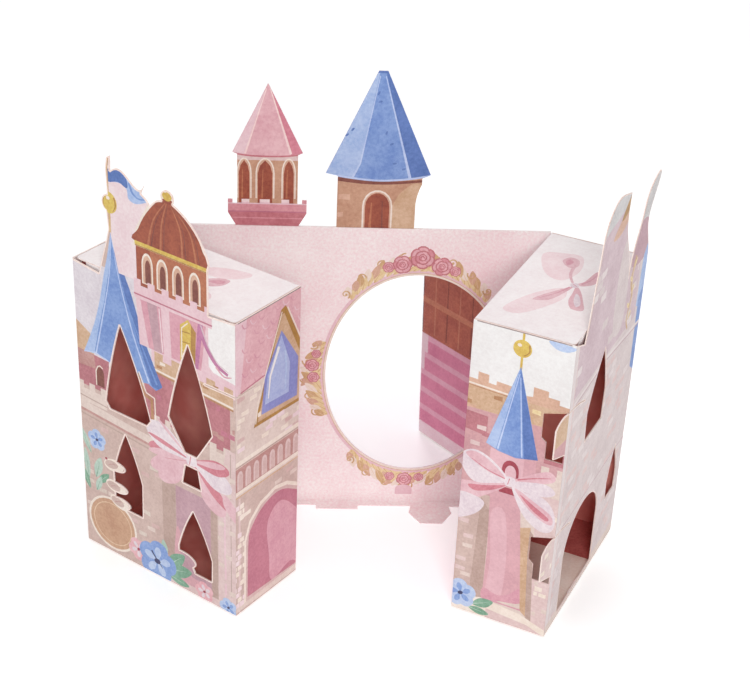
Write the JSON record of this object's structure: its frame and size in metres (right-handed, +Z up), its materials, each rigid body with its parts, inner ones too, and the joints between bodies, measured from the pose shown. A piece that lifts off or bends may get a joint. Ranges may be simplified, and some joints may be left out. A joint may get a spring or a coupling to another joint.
{
  "type": "opening castle gift box",
  "caption": "Opening castle in printed card: a flat towered back panel with a mirror and hinged lidded cartons with cut-out windows.",
  "frame": {"origin": "middle of the back panel's front face, at its foot on the table", "axes": "+X along the panel to the viewer's right, +Y away from the viewer through the panel, +Z up"},
  "size_m": [0.3053, 0.1357, 0.2738],
  "materials": {
    "board_card": "matte printed card",
    "panel_card": "matte printed card",
    "carton_card": "matte printed card",
    "lid_card": "matte printed card",
    "mirror_foil": "polished foil"
  },
  "bodies": {
    "back_panel": {"rear_board": "board_card", "mirror_sheet": "mirror_foil", "front_sheet": "panel_card"},
    "left_box": {"left_carton": "carton_card"},
    "left_top": {"left_lid": "lid_card"},
    "right_box": {"right_carton": "carton_card"},
    "right_top": {"right_lid": "lid_card"}
  },
  "joints": [
    {"name": "left_box_fold", "type": "hinge", "parent": "back_panel", "child": "left_box", "pos_m": [-0.112, 0, 0], "axis": [0, 0, -1], "range_deg": [-37.8, 142.2]},
    {"name": "right_box_fold", "type": "hinge", "parent": "back_panel", "child": "right_box", "pos_m": [0.112, 0, 0], "axis": [0, 0, 1], "range_deg": [-62.5, 117.5]},
    {"name": "left_lid_fold", "type": "hinge", "parent": "left_box", "child": "left_top", "pos_m": [-0.11221, -0.00028, 0.183], "axis": [-0.7902, 0.6129, 0], "range_deg": [0, 90]},
    {"name": "right_lid_fold", "type": "hinge", "parent": "right_box", "child": "right_top", "pos_m": [0.11231, -0.00016, 0.183], "axis": [-0.4617, -0.887, 0], "range_deg": [0, 90]}
  ]
}
